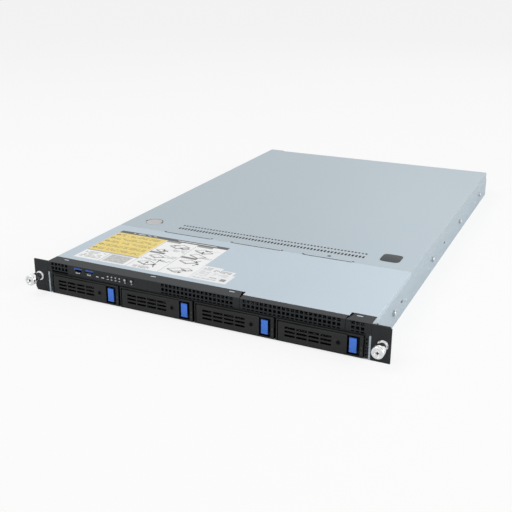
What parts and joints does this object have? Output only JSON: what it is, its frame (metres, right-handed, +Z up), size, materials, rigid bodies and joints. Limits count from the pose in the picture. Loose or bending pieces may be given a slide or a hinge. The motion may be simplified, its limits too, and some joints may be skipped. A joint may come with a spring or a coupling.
{
  "type": "1u rack server",
  "caption": "Flat rack-mount server with hot-swap drive trays across the front, captive screws in its ears, a sliding rear cover, and power supplies that pull out at the back.",
  "frame": {"origin": "on the underside, on the centre line, in the plane of the rack ears' rear faces", "axes": "+X to the right seen from the front, +Y to the rear, +Z up"},
  "size_m": [0.4826, 0.776, 0.0435],
  "materials": {
    "zinc_steel": "satin",
    "black_steel": "satin",
    "black_plastic": "matte",
    "blue_plastic": "satin",
    "pad_plastic": "matte",
    "circuit_board": "satin",
    "drive_case": "satin",
    "cooler_metal": "satin",
    "supply_case": "satin",
    "port_metal": "polished",
    "screw_metal": "polished"
  },
  "bodies": {
    "chassis": {"chassis_base": "zinc_steel", "rear_panel": "zinc_steel", "front_cover": "zinc_steel", "front_panel": "black_steel", "vent_panel": "black_steel", "rack_ear_left": "black_steel", "rack_ear_right": "black_steel", "screw_retainers": "screw_metal", "drive_cage": "zinc_steel", "drive_backplane": "circuit_board", "front_io_board": "circuit_board", "fan_housings": "black_plastic", "main_board": "circuit_board", "power_board": "circuit_board", "heatsinks": "cooler_metal", "memory_modules": "circuit_board", "rear_ports": "port_metal", "slot_covers": "zinc_steel", "rail_studs": "screw_metal"},
    "cover": {"rear_cover": "zinc_steel", "cover_pad": "pad_plastic"},
    "cover_button": {"cover_latch": "zinc_steel"},
    "tray_1": {"drive_tray_1": "black_plastic", "hard_drive_1": "drive_case"},
    "lever_1": {"tray_lever_1": "black_plastic"},
    "latch_1": {"tray_latch_1": "blue_plastic"},
    "lock_1": {"tray_lock_1": "screw_metal"},
    "tray_2": {"drive_tray_2": "black_plastic", "hard_drive_2": "drive_case"},
    "lever_2": {"tray_lever_2": "black_plastic"},
    "latch_2": {"tray_latch_2": "blue_plastic"},
    "lock_2": {"tray_lock_2": "screw_metal"},
    "tray_3": {"drive_tray_3": "black_plastic", "hard_drive_3": "drive_case"},
    "lever_3": {"tray_lever_3": "black_plastic"},
    "latch_3": {"tray_latch_3": "blue_plastic"},
    "lock_3": {"tray_lock_3": "screw_metal"},
    "tray_4": {"drive_tray_4": "black_plastic", "hard_drive_4": "drive_case"},
    "lever_4": {"tray_lever_4": "black_plastic"},
    "latch_4": {"tray_latch_4": "blue_plastic"},
    "lock_4": {"tray_lock_4": "screw_metal"},
    "power_key": {"power_button": "black_plastic"},
    "id_key": {"id_button": "black_plastic"},
    "reset_key": {"reset_button": "black_plastic"},
    "nmi_key": {"nmi_button": "black_plastic"},
    "ring_left": {"stop_ring_left": "screw_metal"},
    "screw_left": {"thumbscrew_left": "screw_metal"},
    "ring_right": {"stop_ring_right": "screw_metal"},
    "screw_right": {"thumbscrew_right": "screw_metal"},
    "rotor_1": {"fan_rotor_1": "black_plastic"},
    "rotor_2": {"fan_rotor_2": "black_plastic"},
    "rotor_3": {"fan_rotor_3": "black_plastic"},
    "rotor_4": {"fan_rotor_4": "black_plastic"},
    "rotor_5": {"fan_rotor_5": "black_plastic"},
    "rotor_6": {"fan_rotor_6": "black_plastic"},
    "supply_1": {"power_supply_1": "supply_case"},
    "supply_catch_1": {"supply_latch_1": "blue_plastic"},
    "supply_2": {"power_supply_2": "supply_case"},
    "supply_catch_2": {"supply_latch_2": "blue_plastic"}
  },
  "joints": [
    {"name": "cover_slide", "type": "slide", "parent": "chassis", "child": "cover", "axis": [0, 1, 0], "range_m": [0, 0.015]},
    {"name": "cover_latch_press", "type": "hinge", "parent": "cover", "child": "cover_button", "pos_m": [-0.148, 0.201, 0.0417], "axis": [0, -1, 0], "range_deg": [0, 3], "stiffness_Nm_per_rad": 2},
    {"name": "tray_slide_1", "type": "slide", "parent": "chassis", "child": "tray_1", "axis": [0, -1, 0], "range_m": [0, 0.19]},
    {"name": "lever_swing_1", "type": "hinge", "parent": "tray_1", "child": "lever_1", "pos_m": [-0.2079, -0.0032, 0.0149], "axis": [0, 0, -1], "range_deg": [0, 60]},
    {"name": "latch_press_1", "type": "slide", "parent": "tray_1", "child": "latch_1", "axis": [0, 1, 0], "range_m": [0, 0.002], "stiffness_N_per_m": 500},
    {"name": "lock_turn_1", "type": "hinge", "parent": "lever_1", "child": "lock_1", "pos_m": [-0.1363, -0.005, 0.0149], "axis": [0, 1, 0], "range_deg": [0, 90]},
    {"name": "tray_slide_2", "type": "slide", "parent": "chassis", "child": "tray_2", "axis": [0, -1, 0], "range_m": [0, 0.19]},
    {"name": "lever_swing_2", "type": "hinge", "parent": "tray_2", "child": "lever_2", "pos_m": [-0.1015, -0.0032, 0.0149], "axis": [0, 0, -1], "range_deg": [0, 60]},
    {"name": "latch_press_2", "type": "slide", "parent": "tray_2", "child": "latch_2", "axis": [0, 1, 0], "range_m": [0, 0.002], "stiffness_N_per_m": 500},
    {"name": "lock_turn_2", "type": "hinge", "parent": "lever_2", "child": "lock_2", "pos_m": [-0.0299, -0.005, 0.0149], "axis": [0, 1, 0], "range_deg": [0, 90]},
    {"name": "tray_slide_3", "type": "slide", "parent": "chassis", "child": "tray_3", "axis": [0, -1, 0], "range_m": [0, 0.19]},
    {"name": "lever_swing_3", "type": "hinge", "parent": "tray_3", "child": "lever_3", "pos_m": [0.0049, -0.0032, 0.0149], "axis": [0, 0, -1], "range_deg": [0, 60]},
    {"name": "latch_press_3", "type": "slide", "parent": "tray_3", "child": "latch_3", "axis": [0, 1, 0], "range_m": [0, 0.002], "stiffness_N_per_m": 500},
    {"name": "lock_turn_3", "type": "hinge", "parent": "lever_3", "child": "lock_3", "pos_m": [0.0765, -0.005, 0.0149], "axis": [0, 1, 0], "range_deg": [0, 90]},
    {"name": "tray_slide_4", "type": "slide", "parent": "chassis", "child": "tray_4", "axis": [0, -1, 0], "range_m": [0, 0.19]},
    {"name": "lever_swing_4", "type": "hinge", "parent": "tray_4", "child": "lever_4", "pos_m": [0.1113, -0.0032, 0.0149], "axis": [0, 0, -1], "range_deg": [0, 60]},
    {"name": "latch_press_4", "type": "slide", "parent": "tray_4", "child": "latch_4", "axis": [0, 1, 0], "range_m": [0, 0.002], "stiffness_N_per_m": 500},
    {"name": "lock_turn_4", "type": "hinge", "parent": "lever_4", "child": "lock_4", "pos_m": [0.1829, -0.005, 0.0149], "axis": [0, 1, 0], "range_deg": [0, 90]},
    {"name": "power_press", "type": "slide", "parent": "chassis", "child": "power_key", "axis": [0, 1, 0], "range_m": [0, 0.001], "stiffness_N_per_m": 500},
    {"name": "id_press", "type": "slide", "parent": "chassis", "child": "id_key", "axis": [0, 1, 0], "range_m": [0, 0.001], "stiffness_N_per_m": 500},
    {"name": "reset_press", "type": "slide", "parent": "chassis", "child": "reset_key", "axis": [0, 1, 0], "range_m": [0, 0.0008], "stiffness_N_per_m": 500},
    {"name": "nmi_press", "type": "slide", "parent": "chassis", "child": "nmi_key", "axis": [0, 1, 0], "range_m": [0, 0.0008], "stiffness_N_per_m": 500},
    {"name": "screw_push_left", "type": "slide", "parent": "chassis", "child": "ring_left", "axis": [0, 1, 0], "range_m": [0, 0.007]},
    {"name": "screw_turn_left", "type": "hinge", "parent": "ring_left", "child": "screw_left", "pos_m": [-0.23255, -0.012, 0.0214], "axis": [0, 1, 0], "continuous": true},
    {"name": "screw_push_right", "type": "slide", "parent": "chassis", "child": "ring_right", "axis": [0, 1, 0], "range_m": [0, 0.007]},
    {"name": "screw_turn_right", "type": "hinge", "parent": "ring_right", "child": "screw_right", "pos_m": [0.23255, -0.012, 0.0214], "axis": [0, 1, 0], "continuous": true},
    {"name": "fan_spin_1", "type": "hinge", "parent": "chassis", "child": "rotor_1", "pos_m": [-0.175, 0.2455, 0.0212], "axis": [0, 1, 0], "continuous": true},
    {"name": "fan_spin_2", "type": "hinge", "parent": "chassis", "child": "rotor_2", "pos_m": [-0.105, 0.2455, 0.0212], "axis": [0, 1, 0], "continuous": true},
    {"name": "fan_spin_3", "type": "hinge", "parent": "chassis", "child": "rotor_3", "pos_m": [-0.035, 0.2455, 0.0212], "axis": [0, 1, 0], "continuous": true},
    {"name": "fan_spin_4", "type": "hinge", "parent": "chassis", "child": "rotor_4", "pos_m": [0.035, 0.2455, 0.0212], "axis": [0, 1, 0], "continuous": true},
    {"name": "fan_spin_5", "type": "hinge", "parent": "chassis", "child": "rotor_5", "pos_m": [0.105, 0.2455, 0.0212], "axis": [0, 1, 0], "continuous": true},
    {"name": "fan_spin_6", "type": "hinge", "parent": "chassis", "child": "rotor_6", "pos_m": [0.175, 0.2455, 0.0212], "axis": [0, 1, 0], "continuous": true},
    {"name": "supply_slide_1", "type": "slide", "parent": "chassis", "child": "supply_1", "axis": [0, 1, 0], "range_m": [0, 0.19]},
    {"name": "supply_catch_press_1", "type": "hinge", "parent": "supply_1", "child": "supply_catch_1", "pos_m": [0.1386, 0.694, 0.0205], "axis": [0, 0, 1], "range_deg": [0, 4], "stiffness_Nm_per_rad": 1.5},
    {"name": "supply_slide_2", "type": "slide", "parent": "chassis", "child": "supply_2", "axis": [0, 1, 0], "range_m": [0, 0.19]},
    {"name": "supply_catch_press_2", "type": "hinge", "parent": "supply_2", "child": "supply_catch_2", "pos_m": [0.2136, 0.694, 0.0205], "axis": [0, 0, 1], "range_deg": [0, 4], "stiffness_Nm_per_rad": 1.5}
  ]
}
